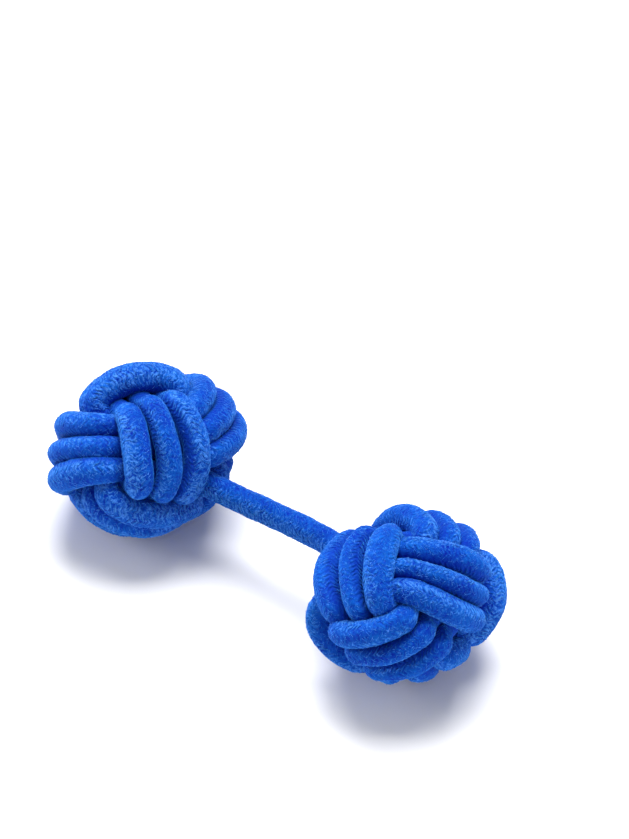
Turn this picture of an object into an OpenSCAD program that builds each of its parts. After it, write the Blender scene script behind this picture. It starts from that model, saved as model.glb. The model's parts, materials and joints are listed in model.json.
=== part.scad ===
// Silk knot cuff button: two ball knots of braided cord, joined by a short link of the same cord.
// Each knot is a ball knot of three leads and four bights, and its lead is followed round three
// times, so three passes of cord lie side by side and go over and under the others together.
// The link runs along X, the button rests on the plane z = 0, and all sizes are in millimetres.

/* [Cord] */
// Diameter of the braided cord where nothing presses on it
cord_d = 1.75; // [1.3:0.05:2.3]

/* [Button] */
// Room for the cuff between the two knots, measured along the link
cuff_room = 9.3; // [6:0.1:14]

/* [Near knot] */
// Turn of the near knot about its own poles, degrees
near_spin = 58.1; // [0:0.1:90]
// Swing of the near knot's outer pole to the side, degrees
near_yaw = -9.3; // [-10:0.1:10]
// Rise of the near knot's outer pole, degrees
near_rise = -6.4; // [-10:0.1:10]
// Thickness of the near knot from pole to pole, as a share of its diameter
near_press = 0.95; // [0.9:0.01:1]
// Breadth of the near knot across the link, as a share of its diameter
near_breadth = 1.05; // [1:0.01:1.08]
// Height of the near knot as it lies, as a share of its diameter
near_height = 0.8; // [0.78:0.01:1]

/* [Far knot] */
// Turn of the far knot about its own poles, degrees
far_spin = 88.7; // [0:0.1:90]
// Swing of the far knot's outer pole to the side, degrees
far_yaw = -0.6; // [-10:0.1:10]
// Rise of the far knot's outer pole, degrees
far_rise = -1.6; // [-10:0.1:10]
// Thickness of the far knot from pole to pole, as a share of its diameter
far_press = 0.92; // [0.9:0.01:1]
// Breadth of the far knot across the link, as a share of its diameter
far_breadth = 1.05; // [1:0.01:1.08]
// Height of the far knot as it lies, as a share of its diameter
far_height = 0.8; // [0.78:0.01:1]

/* [Hidden] */

// A tight knot follows the thickness of its cord, so its sizes are shares of the cord's diameter.
knot_r = 3.714 * cord_d;
pass_gap = 0.12 * cord_d;
// Width and height of the cord where a pass lies on top, and where other passes press it in
over_w = 0.88 * cord_d;
over_h = 0.75 * cord_d;
under_w = 0.66 * cord_d;
under_h = 0.455 * cord_d;
// How much narrower and flatter the cord is where it dives between other passes
pinch_w = 0.1;
pinch_h = 0.06;
// Distance between the middles of two passes that lie side by side
pass_pitch = 1.057 * cord_d;

// Course of the lead over the ball, angles in degrees
leads = 3;
bights = 4;
crest_lat = 49.7;
sway = -7.2;
sway_fine = 0.7;
// How sharply a pass changes from over to under
snap = 3.8;
// How far the change stands out from the middle level, at the equator and beside the poles
lift_equator = 0.134 * cord_d;
lift_pole = 0.312 * cord_d;
// How the passes draw together and spread along the lead, as shares of their distance
draw = -0.053;
draw_fine = -0.072;
// How far the outer passes change level before or after the middle one, degrees
skew = -2.6;

// Sections along a pass, and the angle by which they are moved to stand at even distances
pass_rings = 108;
pass_sides = 8;
pace = 7;

// Distance of the cord's middle from the knot's middle, on top and underneath
r_over = knot_r - over_h / 2;
r_under = knot_r - over_h - pass_gap - under_h / 2;

function unit(v) = v / norm(v);
function squashed(x) = (exp(2 * x) - 1) / (exp(2 * x) + 1);
function between(low, high, share) = (low + high) / 2 + (high - low) / 2 * share;

// Course of the middle pass as a direction from the knot's middle, poles on Z
function lat(a) = crest_lat * sin(a);
function lon(a) = a * leads / bights + sway * sin(2 * a) + sway_fine * sin(4 * a);
function course(a) = [cos(lat(a)) * cos(lon(a)), cos(lat(a)) * sin(lon(a)), sin(lat(a))];

// +1 where a pass lies on top, -1 where it lies underneath; pass is -1, 0 or 1
function level(a, pass) = squashed(-snap * sin(2 * (a + pass * skew * cos(a)))) / squashed(snap);
function lift(a) = lift_equator * pow(cos(a), 2) + lift_pole * pow(sin(a), 2);
function pass_r(a, pass) = let (v = level(a, pass)) between(r_under, r_over, v) + (1 - v * v) * lift(a);
function pass_w(a, pass) = let (v = level(a, pass)) between(under_w, over_w, v) * (1 - pinch_w * (1 - v * v));
function pass_h(a, pass) = let (v = level(a, pass)) between(under_h, over_h, v) * (1 - pinch_h * (1 - v * v));
function pass_shift(a, pass) = pass * pass_pitch * (1 + draw * cos(2 * a) + draw_fine * cos(4 * a));
function pass_point(a, pass) =
    let (u = course(a),
         side = cross(u, unit(course(a + 0.1) - course(a - 0.1))),
         r = pass_r(a, pass),
         turn = pass_shift(a, pass) / r * 180 / PI)
    r * (u * cos(turn) + side * sin(turn));

// A knot's pose is [spin, yaw, rise, press, breadth, height]; its outer pole points along X before yaw and rise.
function about_y(p, t) = [p.x * cos(t) + p.z * sin(t), p.y, -p.x * sin(t) + p.z * cos(t)];
function about_z(p, t) = [p.x * cos(t) - p.y * sin(t), p.x * sin(t) + p.y * cos(t), p.z];
function turned(p, pose) = about_z(about_y(about_z(p, pose[0]), 90 - pose[2]), pose[1]);
function posed(p, pose) = turned([p.x, p.y, p.z * pose[3]], pose);
function flattened(p, pose) = [p.x, p.y * pose[4], p.z * pose[5]];

function ring_angle(i) =
    let (t = 360 * bights * i / pass_rings)
    t - pace * sin(2 * t);
function pass_ring(i, pass, pose) =
    let (a = ring_angle(i),
         mid = posed(pass_point(a, pass), pose),
         along = unit(posed(pass_point(a + 0.5, pass), pose) - posed(pass_point(a - 0.5, pass), pose)),
         side = unit(cross(unit(mid), along)),
         out = cross(along, side),
         half_w = pass_w(a, pass) / 2 / cos(180 / pass_sides),
         half_h = pass_h(a, pass) / 2 / cos(180 / pass_sides))
    [for (k = [0:pass_sides - 1])
        let (b = 360 * (k + 0.5) / pass_sides)
        flattened(mid + side * half_w * cos(b) + out * half_h * sin(b), pose)];
function pass_points(pass, pose) = [for (i = [0:pass_rings - 1]) each pass_ring(i, pass, pose)];
pass_faces = [for (i = [0:pass_rings - 1]) for (k = [0:pass_sides - 1])
    let (n = (i + 1) % pass_rings, m = (k + 1) % pass_sides)
    each [[i * pass_sides + k, n * pass_sides + m, i * pass_sides + m],
          [i * pass_sides + k, n * pass_sides + k, n * pass_sides + m]]];

near_pose = [near_spin, near_yaw, near_rise, near_press, near_breadth, near_height];
far_pose = [far_spin, 180 + far_yaw, far_rise, far_press, far_breadth, far_height];
near_passes = [for (pass = [-1:1]) pass_points(pass, near_pose)];
far_passes = [for (pass = [-1:1]) pass_points(pass, far_pose)];

// Each knot rests on the surface, and the button's box is centred on the origin.
function lowest(passes, axis) = min([for (points = passes) for (p = points) p[axis]]);
function highest(passes, axis) = max([for (points = passes) for (p = points) p[axis]]);
knot_spacing = cuff_room + knot_r * (near_press + far_press);
far_x = -(knot_spacing + highest(near_passes, 0) + lowest(far_passes, 0)) / 2;
mid_y = -(min(lowest(near_passes, 1), lowest(far_passes, 1)) + max(highest(near_passes, 1), highest(far_passes, 1))) / 2;
far_mid = [far_x, mid_y, -lowest(far_passes, 2)];
near_mid = [far_x + knot_spacing, mid_y, -lowest(near_passes, 2)];

// The link is drawn a little thinner than the rest, so that it leaves a knot clear of the passes round it.
link_d = 0.95 * cord_d;

// Core: what is tucked away inside a knot, with a blind seat for the end of the link
core_clearance = 0.1 * cord_d;
seat_depth = 0.9 * cord_d;
seat_clearance = 0.07 * cord_d;
function core_r(pose) = min(pose[3], pose[5]) * (r_under - under_h / 2) - core_clearance;

// Link: leaves each knot along its inner pole, then runs over to the other knot
link_sides = 12;
link_steps = 20;
link_bend = 5 * cord_d;
function inner_pole(pose) = unit(flattened(-turned([0, 0, 1], pose), pose));
function seat_floor(mid, pose) = mid + inner_pole(pose) * (core_r(pose) - seat_depth + seat_clearance);
far_out = inner_pole(far_pose);
near_out = inner_pole(near_pose);
link_start = seat_floor(far_mid, far_pose);
link_finish = seat_floor(near_mid, near_pose);
link_route = [link_start, link_start + far_out * link_bend, link_finish + near_out * link_bend, link_finish];
function on_route(t) =
    link_route[0] * pow(1 - t, 3) + 3 * link_route[1] * pow(1 - t, 2) * t
    + 3 * link_route[2] * (1 - t) * t * t + link_route[3] * pow(t, 3);
function link_along(i) =
    i == 0 ? far_out : i == link_steps ? -near_out
    : unit(on_route(i / link_steps + 0.01) - on_route(i / link_steps - 0.01));
function link_ring(i) =
    let (along = link_along(i), side = unit(cross([0, 0, 1], along)), out = cross(along, side))
    [for (k = [0:link_sides - 1])
        let (b = 360 * k / link_sides)
        on_route(i / link_steps) + (side * cos(b) + out * sin(b)) * link_d / 2];
link_points = [for (i = [0:link_steps]) each link_ring(i)];
link_faces = concat(
    [[for (k = [0:link_sides - 1]) k]],
    [for (i = [0:link_steps - 1]) for (k = [0:link_sides - 1])
        let (n = i + 1, m = (k + 1) % link_sides)
        each [[i * link_sides + k, n * link_sides + k, n * link_sides + m],
              [i * link_sides + k, n * link_sides + m, i * link_sides + m]]],
    [[for (k = [0:link_sides - 1]) (link_steps + 1) * link_sides - 1 - k]]);

module cord_pass(points, mid) {
    color("royalblue")
    translate(mid) polyhedron(points, pass_faces);
}

module core(mid, pose) {
    out = inner_pole(pose);
    color("midnightblue")
    translate(mid) rotate([0, acos(out.z), atan2(out.y, out.x)])
    difference() {
        sphere(r = core_r(pose), $fn = 64);
        translate([0, 0, core_r(pose) - seat_depth])
        cylinder(h = seat_depth + 1, r = link_d / 2 + seat_clearance, $fn = 48);
    }
}

module link_cord() { color("royalblue") polyhedron(link_points, link_faces); }
module near_knot_core() { core(near_mid, near_pose); }
module near_knot_first_pass() { cord_pass(near_passes[0], near_mid); }
module near_knot_second_pass() { cord_pass(near_passes[1], near_mid); }
module near_knot_third_pass() { cord_pass(near_passes[2], near_mid); }
module far_knot_core() { core(far_mid, far_pose); }
module far_knot_first_pass() { cord_pass(far_passes[0], far_mid); }
module far_knot_second_pass() { cord_pass(far_passes[1], far_mid); }
module far_knot_third_pass() { cord_pass(far_passes[2], far_mid); }

link_cord();
near_knot_core();
near_knot_first_pass();
near_knot_second_pass();
near_knot_third_pass();
far_knot_core();
far_knot_first_pass();
far_knot_second_pass();
far_knot_third_pass();
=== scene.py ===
"""Silk knot cuff button: two ball knots of braided cord and the link between them.

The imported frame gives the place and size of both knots. This script follows the same course of cord as
the solids, with the plumper, softer and less even strands of the real thing, and gives them braid, lint
and colour.
"""
import json
import math

import bpy
import numpy as np
from bpy.props import FloatProperty, FloatVectorProperty, IntProperty, PointerProperty
from mathutils import Matrix, Vector

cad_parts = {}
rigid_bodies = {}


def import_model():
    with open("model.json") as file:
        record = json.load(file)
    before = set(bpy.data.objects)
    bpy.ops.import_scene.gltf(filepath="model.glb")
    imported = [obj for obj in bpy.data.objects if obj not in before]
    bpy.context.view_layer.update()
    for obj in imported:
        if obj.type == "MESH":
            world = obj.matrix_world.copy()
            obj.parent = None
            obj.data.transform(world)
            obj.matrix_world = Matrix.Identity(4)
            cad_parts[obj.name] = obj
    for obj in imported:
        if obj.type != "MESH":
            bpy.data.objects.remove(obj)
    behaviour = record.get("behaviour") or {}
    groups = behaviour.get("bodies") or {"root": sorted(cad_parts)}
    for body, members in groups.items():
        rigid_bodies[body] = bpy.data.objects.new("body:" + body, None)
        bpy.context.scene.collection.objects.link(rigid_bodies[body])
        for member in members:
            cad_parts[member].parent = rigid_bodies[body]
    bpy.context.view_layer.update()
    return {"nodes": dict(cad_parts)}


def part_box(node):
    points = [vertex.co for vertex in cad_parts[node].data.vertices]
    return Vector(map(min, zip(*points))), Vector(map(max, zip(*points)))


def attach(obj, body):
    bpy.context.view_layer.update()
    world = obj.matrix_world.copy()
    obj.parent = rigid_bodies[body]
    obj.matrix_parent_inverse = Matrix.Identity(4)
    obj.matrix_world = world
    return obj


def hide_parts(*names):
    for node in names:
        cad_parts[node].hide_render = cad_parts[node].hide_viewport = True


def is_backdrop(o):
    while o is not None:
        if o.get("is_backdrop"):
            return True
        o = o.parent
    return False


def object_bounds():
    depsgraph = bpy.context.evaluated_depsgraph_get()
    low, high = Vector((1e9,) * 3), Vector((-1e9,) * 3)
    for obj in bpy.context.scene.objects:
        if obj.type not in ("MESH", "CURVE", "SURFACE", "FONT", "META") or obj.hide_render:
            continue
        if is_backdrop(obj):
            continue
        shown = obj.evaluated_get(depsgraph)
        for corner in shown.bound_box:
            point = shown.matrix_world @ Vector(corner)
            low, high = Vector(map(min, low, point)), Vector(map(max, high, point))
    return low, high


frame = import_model()

bl_info = {
    "name": "Silk knot cuff button",
    "version": (1, 0, 0),
    "blender": (4, 5, 0),
    "location": "3D View > Sidebar > Silk Knot",
    "description": "Builds the braided cord of a silk knot cuff button on its packed frame",
    "category": "Object",
}

MM = 0.001
KNOTS = ("near", "far")
# Each pass of the cord round a knot: its place among the three side by side, and its name
PASSES = ((-1, "first_pass"), (0, "second_pass"), (1, "third_pass"))

# How the knots are turned, in degrees, and their shapes as shares of the diameter, as in the solids
POSE = {
    "near": {"spin": 58.1, "yaw": -9.3, "rise": -6.4, "press": 0.95, "breadth": 1.05, "height": 0.8},
    "far": {"spin": 88.7, "yaw": 179.4, "rise": -1.6, "press": 0.92, "breadth": 1.05, "height": 0.8},
}

# The course of a knot's lead, as in the solids: three leads and four bights drawn into a ball
LEADS, BIGHTS = 3, 4
# The highest latitude that the lead reaches, and how far it swings aside between crossings
CREST = math.radians(49.7)
SWAY, SWAY_FINE = math.radians(-7.2), math.radians(0.7)
# Distance between passes, and how it changes along the lead, as shares
PITCH, DRAW, DRAW_FINE = 1.85 * MM, -0.053, -0.072
# How quickly a strand changes between over and under, and how much earlier or later its neighbours do
SNAP = 4.2
SKEW = math.radians(-2.6)
# How far a strand is raised while it changes, at the equator and at the poles
LIFT_EQUATOR, LIFT_POLE = 0.15 * MM, 0.40 * MM
# Radius of a knot over its strands, and radius to the middle of the strands underneath
KNOT_RADIUS = 6.38 * MM
UNDER_RADIUS = 4.52 * MM
# How far a strand bows outward in the middle of each crossing
BOW = 0.25 * MM

# The seats of the link in the cores, how far it is led straight on out of them, and how far it sags
SEAT_DEPTH, SEAT_CLEARANCE = 1.575 * MM, 0.1225 * MM
LINK_BEND, LINK_SAG = 6.65 * MM, 0.4 * MM

# What is uneven in the two knots, judged one by one. For each crossing, named by the lead's angle there in
# degrees: how far its passes slide aside together and spread apart, in millimetres; how far they stand
# out together, one after another, and the middle one less; and the widths of the first, second and
# third pass as shares of the usual one.
UNEVEN = {
    "near": {
        135: ((0.0, -0.1), (0.05, 0.0, 0.3), (1.1, 0.9, 1.08)),
        315: ((-0.4, 0.15), (-0.3, 0.3, 0.7), (1.0, 0.85, 0.75)),
        440: ((-0.5, 0.0), (-0.2, 0.0, 0.0), (1.0, 1.0, 1.0)),
        495: ((-0.7, -0.1), (0.3, 0.0, 0.0), (1.08, 1.08, 1.08)),
        675: ((0.0, 0.5), (0.1, 0.2, 0.3), (1.12, 0.8, 1.24)),
        855: ((0.8, 0.3), (-0.3, 0.0, 0.0), (1.05, 1.05, 1.05)),
        1035: ((0.75, 0.15), (0.0, 0.0, 0.15), (1.06, 0.94, 0.96)),
        1215: ((-0.1, 0.05), (-0.1, -0.15, 0.1), (1.06, 0.9, 0.92)),
    },
    "far": {
        -45: ((0.4, 0.1), (0.0, -0.1, 0.0), (1.08, 1.0, 1.0)),
        135: ((0.2, -0.2), (0.0, -0.4, 0.0), (1.08, 1.0, 1.0)),
        495: ((0.3, 0.0), (0.3, -0.15, 0.1), (1.2, 1.0, 1.04)),
        675: ((0.3, 0.0), (0.3, -0.2, 0.0), (1.08, 1.08, 1.08)),
        1035: ((-0.55, 0.15), (0.4, 0.1, 0.1), (1.06, 1.02, 1.16)),
    },
}
# How far along the lead the unevenness of a crossing reaches
UNEVEN_REACH = math.radians(48)

# Where strands are tucked in early, in degrees along the lead: at the start and at the end of the
# crossing, and what each next pass adds to them
TUCKED = {
    "near": {
        135: ((9, 0), (0, 0)),
        495: ((9, 10), (0, 0)),
        675: ((13, 0), (6, 0)),
        1035: ((9, 0), (0, 0)),
        1215: ((5, 14), (0, 7)),
    },
    "far": {
        135: ((5, 2), (0, 0)),
        1035: ((1, 4), (6, 4)),
    },
}
TUCK_REACH = math.radians(28)
# Half of a crossing's length along the lead
EIGHTH_TURN = math.pi / 4


def length_of(name, description, default):
    """A setting that holds a length."""
    return FloatProperty(name=name, description=description, default=default,
                         unit="LENGTH", subtype="DISTANCE")


def colour_of(name, description, default):
    """A setting that holds a colour."""
    return FloatVectorProperty(name=name, description=description, default=default, subtype="COLOR",
                               size=3, min=0, max=1)


class CordSettings(bpy.types.PropertyGroup):
    """Sizes of the cord and of its mesh."""
    over_width: length_of("Width on top", "Width of a strand where it lies on top", 1.68 * MM)
    over_height: length_of("Height on top", "Height of a strand where it lies on top", 1.95 * MM)
    under_width: length_of("Width underneath", "Width of a strand where others cover it", 1.6 * MM)
    under_height: length_of("Height underneath", "Height of a strand where others cover it", 1.25 * MM)
    link_diameter: length_of("Link diameter", "Diameter of the cord between the knots", 1.78 * MM)
    ring_step: length_of("Ring step", "Distance between the rings of a strand's mesh", 0.16 * MM)
    ring_sides: IntProperty(name="Ring sides", description="Points round a strand", default=30, min=8)


class BraidSettings(bpy.types.PropertyGroup):
    """Stitches and unevenness of every strand."""
    stitch_pitch: length_of("Stitch pitch", "Length of one stitch along the cord", 0.31 * MM)
    columns: IntProperty(name="Columns", description="Rows of stitches round the cord", default=6, min=3)
    stitch_depth: length_of("Stitch depth", "Height of a stitch over the grooves", 0.13 * MM)
    lump_depth: length_of("Lump depth", "Unevenness of the cord", 0.08 * MM)
    lump_size: length_of("Lump size", "Distance between uneven places", 0.9 * MM)


class LintSettings(bpy.types.PropertyGroup):
    """Loose fibres that stand off the cord."""
    density: FloatProperty(name="Density", description="Fibres for each square metre of open cord",
                           default=1.8e7, min=0)
    length: length_of("Length", "Length of a fibre", 0.26 * MM)
    thickness: length_of("Thickness", "Diameter of a fibre", 0.03 * MM)
    seed: IntProperty(name="Seed", description="Start of the random placing", default=7)


class LookSettings(bpy.types.PropertyGroup):
    """Colours of the button, with its painted shade and painted glints, and of the floor."""
    cord_colour: colour_of("Cord", "Colour of the stitches", (0.003, 0.112, 0.53))
    # Painted shade: the dark end of the tone, in the grooves between stitches and in the creases; the silk's
    # own random tone reaches toward it too
    dark_tone_and_shade_colour: colour_of("Grooves", "Colour between the stitches", (0.0002, 0.015, 0.32))
    # Painted glints on the cord; the lint takes the same colour as the lighter tone of some fibres
    fleck_and_glint_colour: colour_of("Flecks", "Colour of threads that catch the light", (0.08, 0.28, 0.82))
    # Painted shade: the hidden core is dark, as the inside of a knot seen between its strands
    core_shade_colour: colour_of("Core", "Colour inside the knots", (0.001, 0.02, 0.2))
    floor_colour: colour_of("Floor", "Colour of the floor", (0.93, 0.93, 0.93))


GROUPS = {"cord": CordSettings, "braid": BraidSettings, "lint": LintSettings, "look": LookSettings}


class SilkKnotSettings(bpy.types.PropertyGroup):
    """All settings of the button."""
    cord: PointerProperty(type=CordSettings)
    braid: PointerProperty(type=BraidSettings)
    lint: PointerProperty(type=LintSettings)
    look: PointerProperty(type=LookSettings)


def settings():
    """The button's settings as they stand in the scene."""
    return bpy.context.scene.silk_knot


# Sockets that Blender finds by number alone
MIX_FIRST, MIX_SECOND, MIX_RESULT = 6, 7, 2
RANDOM_LOW, RANDOM_HIGH, RANDOM_RESULT = 2, 3, 1
ATTRIBUTE_NUMBER = 2


class Wire:
    """An output socket that Python's maths works on; each operation adds a Math node."""

    def __init__(self, maker, socket):
        self.maker, self.socket = maker, socket

    def out(self, name):
        """Another output of the same node."""
        return Wire(self.maker, self.socket.node.outputs[name])

    def math(self, operation, *others):
        return self.maker.maths(operation, self, *others)

    def lifted(self, least):
        """A share from 0 to 1 made to run from a least value to 1."""
        return self * (1 - least) + least

    def __add__(self, other):
        return self.math("ADD", other)

    def __sub__(self, other):
        return self.math("SUBTRACT", other)

    def __rsub__(self, other):
        return self.maker.maths("SUBTRACT", other, self)

    def __mul__(self, other):
        return self.math("MULTIPLY", other)

    def __truediv__(self, other):
        return self.math("DIVIDE", other)

    def __rtruediv__(self, other):
        return self.maker.maths("DIVIDE", other, self)

    __radd__ = __add__
    __rmul__ = __mul__


class Maker:
    """Adds nodes to one node tree."""

    def __init__(self, tree):
        self.tree = tree

    def node(self, kind, choices=None, values=None, out=0):
        """Adds a node, makes its choices first, then fills its sockets, and gives one of its outputs."""
        n = self.tree.nodes.new(kind)
        for name, value in (choices or {}).items():
            setattr(n, name, value)
        for name, value in (values or {}).items():
            self.put(n.inputs[name], value)
        return Wire(self, n.outputs[out]) if len(n.outputs) else n

    def put(self, socket, value):
        if isinstance(value, Wire):
            self.tree.links.new(value.socket, socket)
        else:
            socket.default_value = value

    def maths(self, operation, *values):
        return self.node("ShaderNodeMath", {"operation": operation}, dict(enumerate(values)))

    def noise(self, place, ripples, detail=2.0, rough=0.5):
        values = {"Vector": place, "Scale": ripples, "Detail": detail, "Roughness": rough}
        return self.node("ShaderNodeTexNoise", None, values)

    def between(self, value, low, high):
        """0 where a value is low or less, 1 where it is high or more, and even steps between."""
        return self.node("ShaderNodeMapRange", None, {"Value": value, "From Min": low, "From Max": high})

    def mix_colour(self, factor, a, b):
        values = {"Factor": factor, MIX_FIRST: a, MIX_SECOND: b}
        return self.node("ShaderNodeMix", {"data_type": "RGBA"}, values, out=MIX_RESULT)


def rgba(colour):
    return tuple(colour) + (1.0,)


def new_material(name):
    material = bpy.data.materials.new(name)
    material.use_nodes = True
    material.node_tree.nodes.clear()
    return material, Maker(material.node_tree)


def finish_material(m, values):
    shader = m.node("ShaderNodeBsdfPrincipled", None, values)
    m.node("ShaderNodeOutputMaterial", None, {"Surface": shader})


# The middle value of a noise
NOISE_MIDDLE = 0.5
# Ripples for each metre in the noises of the silk, and where patches of fainter stitches start and end
SWAY_RIPPLES, WOBBLE_RIPPLES, CLOUD_RIPPLES = 900.0, 3300.0, 520.0
GRAIN_RIPPLES, PATCH_RIPPLES, FIBRE_RIPPLES = 5200.0, 1300.0, 2600.0
GRAIN_ROUGHNESS = 0.7
PATCH_START, PATCH_END = 0.38, 0.62
# How far the stitches stray along the cord, in stitches, and round it, in rows
SWAY_ALONG, WOBBLE_ALONG, WOBBLE_AROUND = 1.2, 0.6, 0.4
# How far the ends of a stitch's V lie behind its point, in stitches, and how high they still stand
V_REACH, V_END = 0.9, 0.4
# The rim of a strand, where its side begins: the cosine there and how steeply it grows
RIM_START, RIM_GROWTH = 0.35, 2.0
# Relief of worn stitches, and what is left of it in a faint patch and on the crown of a strand
WORN_RELIEF, PATCH_LEAST, CROWN_LEAST = 0.4, 0.2, 0.35
# Threads in a stitch: how fine they are along it and across it, and their noise
THREAD_ALONG, THREAD_ACROSS = 2.0, 0.7
THREAD_RIPPLES, THREAD_ROUGHNESS = 1.3, 0.6
# Shares of the patterns in the tone from groove to stitch, the rim's share being a painted sheen along the
# sides of a strand, and the sums at which it starts and ends
TONE_RIDGE, TONE_CLOUD, TONE_GRAIN, TONE_THREADS, TONE_RIM_SHEEN = 0.3, 0.5, 0.5, 0.7, 0.06
TONE_START, TONE_END = 0.74, 1.2
# The same for the flecks, which are painted glints where threads catch the light, and how strong they are
FLECK_GRAIN, FLECK_RIM = 0.6, 0.12
FLECK_START, FLECK_END, FLECK_STRENGTH = 0.91, 1.12, 0.7
# How light the covered parts of a strand stay in their painted shade, where other strands cover it, where it
# faces the knot's middle and in the creases by its neighbours
COVERED_LEAST = 0.4
# Shares of grain and threads in the relief
RELIEF_GRAIN, RELIEF_THREADS = 0.4, 0.7
SILK_ROUGHNESS, FLECK_SHINE = 0.75, 0.2
SHEEN_TINT = (0.05, 0.35, 1.0, 1.0)


def cord_material():
    """Braided silk: V-shaped stitches, darker in the grooves by painted shade, with flecks of painted glint
    where threads catch the light.
    """
    look, braid = settings().look, settings().braid
    material, m = new_material("Braided silk")
    place = m.node("ShaderNodeTexCoord").out("Object")
    sway = m.noise(place, SWAY_RIPPLES)
    wobble = m.noise(place, WOBBLE_RIPPLES)
    cloud = m.noise(place, CLOUD_RIPPLES, 3.0)
    grain = m.noise(place, GRAIN_RIPPLES, 3.0, GRAIN_ROUGHNESS)
    patch = m.between(m.noise(place, PATCH_RIPPLES), PATCH_START, PATCH_END)

    mapped = m.node("ShaderNodeSeparateXYZ", None, {"Vector": m.node("ShaderNodeUVMap", {"uv_map": "Cord"})})
    along = mapped.out("X") + (sway - NOISE_MIDDLE) * SWAY_ALONG + (wobble - NOISE_MIDDLE) * WOBBLE_ALONG
    around = mapped.out("Y") * float(braid.columns) + (wobble - NOISE_MIDDLE) * WOBBLE_AROUND
    leg = around.math("PINGPONG", 0.5) * 2.0
    rim = ((mapped.out("Y") * (2 * math.pi)).math("COSINE").math("ABSOLUTE") - RIM_START) * RIM_GROWTH

    stitch = along + leg * V_REACH
    wave = (stitch * (2 * math.pi)).math("COSINE") * 0.5 + 0.5
    ridge = wave * (leg * math.pi).math("SINE").lifted(V_END)
    side = rim.math("MAXIMUM", 0.0).math("MINIMUM", 1.0)
    ridge = WORN_RELIEF + (ridge - WORN_RELIEF) * patch.lifted(PATCH_LEAST) * side.lifted(CROWN_LEAST)
    thread = m.node("ShaderNodeCombineXYZ", None, {
        "X": stitch * THREAD_ALONG, "Y": (along - leg) * THREAD_ACROSS, "Z": around})
    threads = m.noise(thread, THREAD_RIPPLES, 2.0, THREAD_ROUGHNESS)

    # The ridge term is painted shade in the grooves between stitches; cloud, grain and threads are the silk's
    # own random tone
    tone = ridge * TONE_RIDGE + cloud * TONE_CLOUD + grain * TONE_GRAIN
    # Painted sheen: the rim of a strand is made lighter
    tone = tone + threads * TONE_THREADS + rim * TONE_RIM_SHEEN
    # Painted shade from the strand's own attribute: darker where other strands cover it, on its side toward
    # the knot's middle and in the creases by its neighbours
    exposure_and_painted_shade = m.node("ShaderNodeAttribute", {"attribute_name": "open"}, out=ATTRIBUTE_NUMBER)
    tone = m.between(tone, TONE_START, TONE_END) * exposure_and_painted_shade.lifted(COVERED_LEAST)
    base = m.mix_colour(tone, rgba(look.dark_tone_and_shade_colour), rgba(look.cord_colour))
    glint_fleck = m.between(grain * FLECK_GRAIN + threads + rim * FLECK_RIM, FLECK_START, FLECK_END)
    # Painted glints: lighter flecks where threads catch the light, more at the rim and fading in the painted
    # shade
    base = m.mix_colour(glint_fleck * exposure_and_painted_shade * FLECK_STRENGTH, base, rgba(look.fleck_and_glint_colour))
    relief = ridge + grain * RELIEF_GRAIN + threads * RELIEF_THREADS
    bump = m.node("ShaderNodeBump", None, {"Strength": 1.0, "Distance": braid.stitch_depth, "Height": relief})
    finish_material(m, {
        "Base Color": base,
        "Roughness": SILK_ROUGHNESS - glint_fleck * FLECK_SHINE,
        "Normal": bump,
        "Specular IOR Level": 0.06,
        "Sheen Weight": 0.7,
        "Sheen Roughness": 0.35,
        "Sheen Tint": SHEEN_TINT,
    })
    return material


# The noise at which a fibre has the cord's colour, and at which it has the flecks'
FIBRE_DARK, FIBRE_LIGHT = 0.35, 0.7
# Roughness of what has no shine
MATT = 0.9


def lint_material():
    """Loose fibres: the lighter tones of the cord, each fibre with its own."""
    look = settings().look
    material, m = new_material("Loose silk")
    place = m.node("ShaderNodeTexCoord").out("Object")
    tone = m.between(m.noise(place, FIBRE_RIPPLES, 1.0), FIBRE_DARK, FIBRE_LIGHT)
    base = m.mix_colour(tone, rgba(look.cord_colour), rgba(look.fleck_and_glint_colour))
    finish_material(m, {"Base Color": base, "Roughness": 0.6, "Specular IOR Level": 0.15})
    return material


def plain_material(name, colour, rough):
    material, m = new_material(name)
    finish_material(m, {"Base Color": rgba(colour), "Roughness": rough})
    return material


def knot_middle(knot):
    """Middle and radius of a knot's core, from its solid.

    The outer end of the ball is whole, and the inner end is bored for the link.
    """
    low, high = (np.array(v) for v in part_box(knot + "_knot_core"))
    radius = (high[1] - low[1]) / 2
    middle = (low + high) / 2
    middle[0] = high[0] - radius if knot == "near" else low[0] + radius
    return middle, radius


def turning(axis, degrees):
    return np.array(Matrix.Rotation(math.radians(degrees), 3, axis))


def knot_turn(knot):
    """How a knot is turned from its own frame, whose Z is the axis from pole to pole."""
    pose = POSE[knot]
    return turning("Z", pose["yaw"]) @ turning("Y", 90 - pose["rise"]) @ turning("Z", pose["spin"])


def course(a):
    """Direction from a knot's middle to its lead, for angles along the lead."""
    lat = CREST * np.sin(a)
    lon = a * LEADS / BIGHTS + SWAY * np.sin(2 * a) + SWAY_FINE * np.sin(4 * a)
    return np.stack([np.cos(lat) * np.cos(lon), np.cos(lat) * np.sin(lon), np.sin(lat)], -1)


def unit(v):
    return v / np.linalg.norm(v, axis=-1, keepdims=True)


def along_lead(a, place):
    """Distance along the lead from a place on it, the short way round."""
    turn = 2 * math.pi * BIGHTS
    return (a - place + turn / 2) % turn - turn / 2


def nearness(a, place, reach):
    """1 at a place on the lead, which falls to 0 a little past its reach."""
    return np.exp(-(along_lead(a, place) / reach) ** 4)


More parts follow.
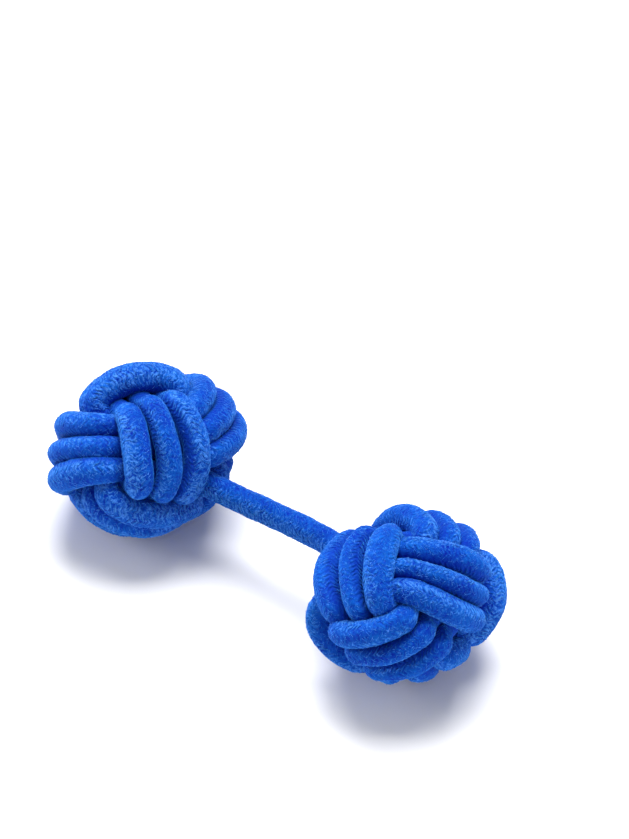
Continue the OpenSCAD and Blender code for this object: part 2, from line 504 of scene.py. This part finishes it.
def tucked(knot, number, a):
    """The lead's angle as the change from over to under sees it, where strands are tucked in early."""
    moved = a.copy()
    for place, ((start, end), (start_more, end_more)) in TUCKED[knot].items():
        ends = ((-EIGHTH_TURN, -start - number * start_more), (EIGHTH_TURN, end + number * end_more))
        for edge, early in ends:
            moved += nearness(a, math.radians(place) + edge, TUCK_REACH) * math.radians(early)
    return moved


def uneven(knot, number, a):
    """Sideways and outward shift and widening of a strand near the crossings that the table names."""
    side, out, wide = np.zeros_like(a), np.zeros_like(a), np.ones_like(a)
    for place, ((slide, spread), (lift, lean, dip), widths) in UNEVEN[knot].items():
        weight = nearness(a, math.radians(place), UNEVEN_REACH)
        side += weight * (slide + number * spread) * MM
        out += weight * (lift + number * lean - (number == 0) * dip) * MM
        wide += weight * (widths[number + 1] - 1)
    return side, out, wide


def size_at(level, over, under):
    """A size of a strand between its value on top, at level 1, and its value underneath, at level -1."""
    return ((over + under) + (over - under) * level) / 2


# The step along the lead from which its heading in a knot's own frame is taken
HEADING_STEP = 0.002


def strand(knot, number, a):
    """Middle of a strand in the knot's own frame, its width and height there, and its level, 1 on top."""
    cord = settings().cord
    u = course(a)
    side = np.cross(u, unit(course(a + HEADING_STEP) - course(a - HEADING_STEP)))
    change = tucked(knot, number, a) + number * SKEW * np.cos(a)
    level = np.tanh(-SNAP * np.sin(2 * change)) / math.tanh(SNAP)
    over = KNOT_RADIUS - cord.over_height / 2
    lift = (1 - level ** 2) * (LIFT_EQUATOR * np.cos(a) ** 2 + LIFT_POLE * np.sin(a) ** 2)
    aside, outward, wider = uneven(knot, number, a)
    bow = BOW * np.clip(-np.sin(2 * a), 0, 1) ** 2
    r = (over + UNDER_RADIUS) / 2 + (over - UNDER_RADIUS) / 2 * level + lift + bow + outward
    shift = (number * PITCH * (1 + DRAW * np.cos(2 * a) + DRAW_FINE * np.cos(4 * a)) + aside) / r
    middle = (u * np.cos(shift)[:, None] + side * np.sin(shift)[:, None]) * r[:, None]
    middle[:, 2] *= POSE[knot]["press"]
    width = size_at(level, cord.over_width, cord.under_width) * wider
    height = size_at(level, cord.over_height, cord.under_height)
    return middle, width, height, level


def placed(knot, points):
    """From the knot's own frame to the frame of the part, flattened as the knot lies."""
    points = points @ knot_turn(knot).T * (1, POSE[knot]["breadth"], POSE[knot]["height"])
    return points + knot_middle(knot)[0]


def even_steps(points, closed, step):
    """Places along a line of points at even distances, with their lengths along it and its whole length."""
    ends = np.vstack([points, points[:1]]) if closed else points
    length = np.concatenate([[0], np.cumsum(np.linalg.norm(np.diff(ends, axis=0), axis=1))])
    count = max(8, int(round(length[-1] / step)))
    wanted = np.arange(count) * length[-1] / count if closed else np.linspace(0, length[-1], count)
    return np.interp(wanted, length, np.arange(len(length))), wanted, length[-1]


def strand_mesh(name, points, closed, along, around, heading, exposure_and_painted_shade):
    """A strand from its rings of points.

    Its faces point outward, and its map runs along and round the cord without a seam.
    """
    count, sides = points.shape[:2]
    faces, marks = [], []
    for i in range(count if closed else count - 1):
        n = (i + 1) % count
        for k in range(sides):
            m = (k + 1) % sides
            faces.append((i * sides + k, i * sides + m, n * sides + m, n * sides + k))
            here, there = around[i], around[i + 1]
            marks += [(along[i], here + k / sides), (along[i], here + (k + 1) / sides),
                      (along[i + 1], there + (k + 1) / sides), (along[i + 1], there + k / sides)]
    if not closed:
        faces += [tuple(reversed(range(sides))), tuple(range((count - 1) * sides, count * sides))]
        marks += [(0, k / sides) for k in range(2 * sides)]
    mesh = bpy.data.meshes.new(name)
    mesh.from_pydata(points.reshape(-1, 3).tolist(), [], faces)
    mesh.uv_layers.new(name="Cord").data.foreach_set("uv", np.array(marks, dtype=np.float32).ravel())
    layer = mesh.attributes.new("heading", "FLOAT_VECTOR", "POINT")
    layer.data.foreach_set("vector", np.repeat(heading, sides, 0).astype(np.float32).ravel())
    # The share of each point that is out in the open: it sets the painted shade of the silk and where lint
    # lies
    layer = mesh.attributes.new("open", "FLOAT", "POINT")
    layer.data.foreach_set("value", exposure_and_painted_shade.astype(np.float32).ravel())
    mesh.polygons.foreach_set("use_smooth", [True] * len(mesh.polygons))
    mesh.update()
    obj = bpy.data.objects.new(name, mesh)
    bpy.context.scene.collection.objects.link(obj)
    return obj


def ring_points(middle, side, out, width, height, sides):
    """Rounded sections round a line of middles, and how far outward each point of a section faces."""
    b = 2 * math.pi * np.arange(sides) / sides
    points = middle[:, None] + side[:, None] * (width[:, None] / 2 * np.cos(b))[..., None]
    return points + out[:, None] * (height[:, None] / 2 * np.sin(b))[..., None], np.sin(b)


# How dark a strand is where it meets its neighbour, and the cosines between which that shade grows
CREASE_SHADE = 0.95
CREASE_START, CREASE_END = 0.70, 0.88


def crowded(number, sides):
    """How close each point of a section comes to the passes beside it, 0 to 1.

    An outer pass has a neighbour on one side alone.
    """
    across = np.cos(2 * math.pi * np.arange(sides) / sides)
    neighbours = [sign * across for sign in (-1, 1) if abs(number + sign) < 2]
    return np.clip((np.max(neighbours, axis=0) - CREASE_START) / (CREASE_END - CREASE_START), 0, 1)


# The height over which strands soften toward the table, and, in such heights, how far above and below
# the table the softening is worked out and how far above it nothing changes any more
TABLE_SOFTNESS = 0.1 * MM
TABLE_REACH, TABLE_CLEAR = 30, 20


def on_table(points):
    """Presses what would reach below the table flat against it."""
    points = points.copy()
    z = np.clip(points[..., 2] / TABLE_SOFTNESS, -TABLE_REACH, TABLE_REACH)
    pressed = TABLE_SOFTNESS * np.log1p(np.exp(z))
    points[..., 2] = np.where(z > TABLE_CLEAR, points[..., 2], pressed)
    return points


# Points along a lead from which even steps are measured, and the step for a strand's heading
FINE_STEPS = 6000
STRAND_STEP = 0.004
# Length of cord over which its rows of stitches turn by one row
CORD_TURN = 14 * MM
# The shade of a strand toward the knot's middle and where it is underneath: slopes and starts
INNER_SLOPE, INNER_START = 2, 1.2
UNDER_SLOPE, UNDER_START = 2, 1.6


def make_pass(knot, number, label):
    """One closed pass of cord round a knot."""
    cord, braid = settings().cord, settings().braid
    a = np.linspace(0, 2 * math.pi * BIGHTS, FINE_STEPS, endpoint=False)
    place, wanted, length = even_steps(placed(knot, strand(knot, number, a)[0]), True, cord.ring_step)
    a = place * 2 * math.pi * BIGHTS / FINE_STEPS
    middle, width, height, level = strand(knot, number, a)
    middle = placed(knot, middle)
    ahead, behind = (placed(knot, strand(knot, number, a + d)[0]) for d in (STRAND_STEP, -STRAND_STEP))
    heading = unit(ahead - behind)
    side = unit(np.cross(unit(middle - knot_middle(knot)[0]), heading))
    out = np.cross(heading, side)
    points, facing = ring_points(middle, side, out, width, height, cord.ring_sides)
    share = np.append(wanted, length) / length
    along = share * round(length / braid.stitch_pitch)
    around = share * round(length / CORD_TURN) / braid.columns
    # Painted shade toward the knot's middle, where other strands cover this one and in the creases by its
    # neighbours; lint lies more thickly where this share is high
    inner = np.clip(facing[None] * INNER_SLOPE + INNER_START, 0, 1)
    under = np.clip(level[:, None] * UNDER_SLOPE + UNDER_START, 0, 1)
    exposure_and_painted_shade = inner * under * (1 - CREASE_SHADE * crowded(number, cord.ring_sides))
    return strand_mesh(f"{knot}_{label}_cord", on_table(points), True, along, around, heading, exposure_and_painted_shade)


def link_route(t):
    """The link's middle from the seat in the far core to the seat in the near one, for shares of it."""
    ends = []
    for knot in ("far", "near"):
        centre, radius = knot_middle(knot)
        way = unit(-knot_turn(knot)[:, 2] * (1, POSE[knot]["breadth"], POSE[knot]["height"]))
        start = centre + way * (radius - SEAT_DEPTH + SEAT_CLEARANCE)
        ends += [start, start + way * LINK_BEND - np.array([0, 0, LINK_SAG])]
    p0, p1, p3, p2 = ends
    t = t[:, None]
    return p0 * (1 - t) ** 3 + 3 * p1 * (1 - t) ** 2 * t + 3 * p2 * (1 - t) * t ** 2 + p3 * t ** 3


# Points along the link from which even steps are measured
LINK_STEPS = 800


def make_link():
    """The open length of cord between the knots."""
    cord = settings().cord
    fine = link_route(np.linspace(0, 1, LINK_STEPS))
    place, wanted, _ = even_steps(fine, False, cord.ring_step)
    middle = link_route(place / (LINK_STEPS - 1))
    heading = unit(np.gradient(middle, axis=0))
    side = unit(np.cross(np.array([0, 0, 1.0]), heading))
    out = np.cross(heading, side)
    width = np.full(len(middle), cord.link_diameter)
    points, _ = ring_points(middle, side, out, width, width, cord.ring_sides)
    along = wanted / settings().braid.stitch_pitch
    around, exposure_and_painted_shade = np.zeros_like(along), np.ones(points.shape[:2])
    return strand_mesh("link_cord_braided", points, False, along, around, heading, exposure_and_painted_shade)


def new_tree(name, inputs):
    """A node group with Geometry in and out and the named inputs: (name, socket type, default)."""
    tree = bpy.data.node_groups.new(name, "GeometryNodeTree")
    tree.interface.new_socket("Geometry", in_out="INPUT", socket_type="NodeSocketGeometry")
    for label, kind, default in inputs:
        item = tree.interface.new_socket(label, in_out="INPUT", socket_type=kind)
        if default is not None:
            item.default_value = default
    tree.interface.new_socket("Geometry", in_out="OUTPUT", socket_type="NodeSocketGeometry")
    maker = Maker(tree)
    return tree, maker, maker.node("NodeGroupInput")


def end_tree(m, geometry, material):
    whole = m.node("GeometryNodeRealizeInstances", None, {"Geometry": geometry})
    painted = m.node("GeometryNodeSetMaterial", None, {"Geometry": whole, "Material": material})
    m.node("NodeGroupOutput", None, {"Geometry": painted})


def lump_tree():
    """Makes a strand a little uneven along its normals."""
    tree, m, given = new_tree("Uneven cord", [
        ("Lump depth", "NodeSocketFloat", 0.05 * MM),
        ("Lump size", "NodeSocketFloat", MM),
        ("Material", "NodeSocketMaterial", None),
    ])
    lump = m.noise(m.node("GeometryNodeInputPosition"), 1.0 / given.out("Lump size"))
    height = (lump - NOISE_MIDDLE) * given.out("Lump depth") * 2.0
    offset = m.node("ShaderNodeVectorMath", {"operation": "SCALE"},
                    {0: m.node("GeometryNodeInputNormal"), "Scale": height})
    moved = m.node("GeometryNodeSetPosition", None, {"Geometry": given.out("Geometry"), "Offset": offset})
    end_tree(m, moved, given.out("Material"))
    return tree


# How a fibre lies, in radians: its lean from the cord's heading, of which each takes a share, and its rise
FIBRE_LEAN = 0.96
LEAN_LEAST, LEAN_MOST = 0.3, 1.1
FIBRE_RISE = 0.3
# Lengths of fibres as shares of the set one, and the sides of a fibre
FIBRE_SHORT, FIBRE_LONG = 0.5, 1.4
FIBRE_SIDES = 3


def lint_tree():
    """Scatters short straight fibres over the open side of a strand, lying roughly as the stitches do."""
    tree, m, given = new_tree("Lint", [
        ("Density", "NodeSocketFloat", 1e6),
        ("Length", "NodeSocketFloat", 0.3 * MM),
        ("Thickness", "NodeSocketFloat", 0.015 * MM),
        ("Seed", "NodeSocketInt", 0),
        ("Material", "NodeSocketMaterial", None),
    ])

    def random(low, high, salt):
        values = {RANDOM_LOW: low, RANDOM_HIGH: high, "Seed": given.out("Seed") + float(salt)}
        return m.node("FunctionNodeRandomValue", {"data_type": "FLOAT"}, values, out=RANDOM_RESULT)

    def named(kind, name):
        return m.node("GeometryNodeInputNamedAttribute", {"data_type": kind}, {"Name": name})

    points = m.node("GeometryNodeDistributePointsOnFaces", {"distribute_method": "RANDOM"}, {
        "Mesh": given.out("Geometry"),
        "Density": given.out("Density") * named("FLOAT", "open"),
        "Seed": given.out("Seed"),
    })
    fibre = m.node("GeometryNodeMeshCylinder", {"fill_type": "NGON"}, {
        "Vertices": FIBRE_SIDES,
        "Radius": given.out("Thickness") * 0.5,
        "Depth": given.out("Length"),
    })
    way = m.node("FunctionNodeAxesToRotation", {"primary_axis": "Z", "secondary_axis": "X"}, {
        0: named("FLOAT_VECTOR", "heading"), 1: points.out("Normal")})
    lean = random(-1.0, 1.0, 1).math("SIGN") * random(LEAN_LEAST, LEAN_MOST, 2) * FIBRE_LEAN
    rise = random(-FIBRE_RISE, FIBRE_RISE, 3)
    turn = m.node("ShaderNodeCombineXYZ", None, {"X": lean, "Y": rise, "Z": 0.0})
    turned = m.node("FunctionNodeRotateRotation", {"rotation_space": "LOCAL"}, {
        "Rotation": way, "Rotate By": m.node("FunctionNodeEulerToRotation", None, {"Euler": turn})})
    long = m.node("ShaderNodeCombineXYZ", None, {"X": 1.0, "Y": 1.0, "Z": random(FIBRE_SHORT, FIBRE_LONG, 4)})
    put = m.node("GeometryNodeInstanceOnPoints", None, {
        "Points": points, "Instance": fibre, "Rotation": turned, "Scale": long})
    end_tree(m, put, given.out("Material"))
    return tree


def grow(obj, tree, values, name):
    """The plain mesh that a node tree makes of an object; the object itself is left as it was."""
    modifier = obj.modifiers.new(tree.name, "NODES")
    modifier.node_group = tree
    keys = {item.name: item.identifier for item in tree.interface.items_tree if item.in_out == "INPUT"}
    for label, value in values.items():
        modifier[keys[label]] = value
    obj.update_tag()
    graph = bpy.context.evaluated_depsgraph_get()
    graph.update()
    grown = obj.evaluated_get(graph)
    mesh = bpy.data.meshes.new_from_object(grown, preserve_all_data_layers=True, depsgraph=graph)
    mesh.name = name
    obj.modifiers.remove(modifier)
    return mesh


def dress(obj):
    """Gives a strand its unevenness and its material."""
    braid = settings().braid
    tree = bpy.data.node_groups.get("Uneven cord") or lump_tree()
    material = bpy.data.materials.get("Braided silk") or cord_material()
    values = {"Lump depth": braid.lump_depth, "Lump size": braid.lump_size, "Material": material}
    obj.data = grow(obj, tree, values, obj.name)
    return obj


class Build:
    """Shared by the operators."""
    bl_options = {"REGISTER", "UNDO"}


class SILKKNOT_OT_knots(Build, bpy.types.Operator):
    """Builds the passes of cord of both knots"""
    bl_idname = "silk_knot.knots"
    bl_label = "Build the knots"

    def execute(self, context):
        for knot in KNOTS:
            for number, label in PASSES:
                obj = dress(make_pass(knot, number, label))
                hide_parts(f"{knot}_knot_{label}")
                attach(obj, "root")
        return {"FINISHED"}


class SILKKNOT_OT_link(Build, bpy.types.Operator):
    """Builds the link between the knots"""
    bl_idname = "silk_knot.link"
    bl_label = "Build the link"

    def execute(self, context):
        obj = dress(make_link())
        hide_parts("link_cord")
        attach(obj, "root")
        return {"FINISHED"}


class SILKKNOT_OT_cores(Build, bpy.types.Operator):
    """Colours what is hidden inside the knots dark, as painted shade"""
    bl_idname = "silk_knot.cores"
    bl_label = "Colour the cores"

    def execute(self, context):
        material = plain_material("Core", settings().look.core_shade_colour, MATT)
        for knot in KNOTS:
            node = frame["nodes"][knot + "_knot_core"]
            node.data.materials.clear()
            node.data.materials.append(material)
        return {"FINISHED"}


class SILKKNOT_OT_lint(Build, bpy.types.Operator):
    """Scatters loose fibres over the cord"""
    bl_idname = "silk_knot.lint"
    bl_label = "Add lint"

    def execute(self, context):
        lint = settings().lint
        tree, material = lint_tree(), lint_material()
        names = [f"{knot}_{label}_cord" for knot in KNOTS for _, label in PASSES] + ["link_cord_braided"]
        for number, name in enumerate(names):
            values = {"Density": lint.density, "Length": lint.length, "Thickness": lint.thickness,
                      "Seed": lint.seed + number, "Material": material}
            mesh = grow(bpy.data.objects[name], tree, values, name + "_lint")
            obj = bpy.data.objects.new(name + "_lint", mesh)
            context.scene.collection.objects.link(obj)
            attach(obj, "root")
        return {"FINISHED"}


# Half of the floor's breadth in metres, and the strength of the light from all sides
FLOOR_REACH = 1.5
ROOM_LIGHT = 0.36
# Each light: its name, its place and its size in metres, and its power in watts; it faces the origin
LIGHTS = (
    ("key", (-0.12, 0.16, 0.40), 0.32, 3.7),
    ("left", (-0.42, -0.10, 0.06), 0.25, 1.8),
    ("right", (0.45, -0.08, 0.03), 0.25, 1.3),
)
# The camera's place, and as columns its axes to the right, up and back
CAMERA_AT = Vector((99.488, -148.274, 191.998)) * MM
CAMERA_AXES = Matrix((
    (0.80286, -0.45186, 0.38889),
    (0.59338, 0.54267, -0.59447),
    (0.05758, 0.70804, 0.70382),
))
LENS, SENSOR_WIDTH, CLIP_START = 166.96, 36.0, 0.01


class SILKKNOT_OT_stage(Build, bpy.types.Operator):
    """Sets the floor, the lights and the camera"""
    bl_idname = "silk_knot.stage"
    bl_label = "Set the stage"

    def execute(self, context):
        scene = context.scene
        low = min(0.0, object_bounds()[0][2])
        mesh = bpy.data.meshes.new("floor")
        ways = ((-1, -1), (1, -1), (1, 1), (-1, 1))
        mesh.from_pydata([(x * FLOOR_REACH, y * FLOOR_REACH, low) for x, y in ways], [], [(0, 1, 2, 3)])
        mesh.materials.append(plain_material("Floor", settings().look.floor_colour, MATT))
        floor = bpy.data.objects.new("floor", mesh)
        scene.collection.objects.link(floor)
        floor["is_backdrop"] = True

        world = bpy.data.worlds.new("Soft room")
        world.use_nodes = True
        room = world.node_tree.nodes["Background"].inputs
        room["Color"].default_value = (1.0, 1.0, 1.0, 1.0)
        room["Strength"].default_value = ROOM_LIGHT
        scene.world = world

        for name, place, size, watts in LIGHTS:
            data = bpy.data.lights.new(name, "AREA")
            data.size, data.energy = size, watts
            light = bpy.data.objects.new(name, data)
            light.location = place
            light.rotation_euler = (-Vector(place)).to_track_quat("-Z", "Y").to_euler()
            scene.collection.objects.link(light)

        data = bpy.data.cameras.new("camera")
        data.lens, data.sensor_width, data.clip_start = LENS, SENSOR_WIDTH, CLIP_START
        camera = bpy.data.objects.new("camera", data)
        camera.matrix_world = Matrix.Translation(CAMERA_AT) @ CAMERA_AXES.to_4x4()
        scene.collection.objects.link(camera)
        scene.camera = camera
        scene.view_settings.view_transform = "Standard"
        return {"FINISHED"}


class SILKKNOT_PT_panel(bpy.types.Panel):
    """Lists the settings and the steps"""
    bl_label = "Silk Knot"
    bl_idname = "SILKKNOT_PT_panel"
    bl_space_type = "VIEW_3D"
    bl_region_type = "UI"
    bl_category = "Silk Knot"

    def draw(self, context):
        for label in GROUPS:
            group = getattr(settings(), label)
            box = self.layout.box()
            box.label(text=label.capitalize())
            for key in group.bl_rna.properties.keys():
                if key not in ("rna_type", "name"):
                    box.prop(group, key)
        for operator in OPERATORS:
            self.layout.operator(operator.bl_idname)


OPERATORS = (SILKKNOT_OT_knots, SILKKNOT_OT_link, SILKKNOT_OT_cores, SILKKNOT_OT_lint, SILKKNOT_OT_stage)
CLASSES = tuple(GROUPS.values()) + (SilkKnotSettings,) + OPERATORS + (SILKKNOT_PT_panel,)


def register():
    for cls in CLASSES:
        bpy.utils.register_class(cls)
    bpy.types.Scene.silk_knot = PointerProperty(type=SilkKnotSettings)


def unregister():
    del bpy.types.Scene.silk_knot
    for cls in reversed(CLASSES):
        bpy.utils.unregister_class(cls)


def main():
    register()
    bpy.ops.silk_knot.knots()
    bpy.ops.silk_knot.link()
    bpy.ops.silk_knot.cores()
    bpy.ops.silk_knot.lint()
    bpy.ops.silk_knot.stage()


if __name__ == "__main__":
    main()
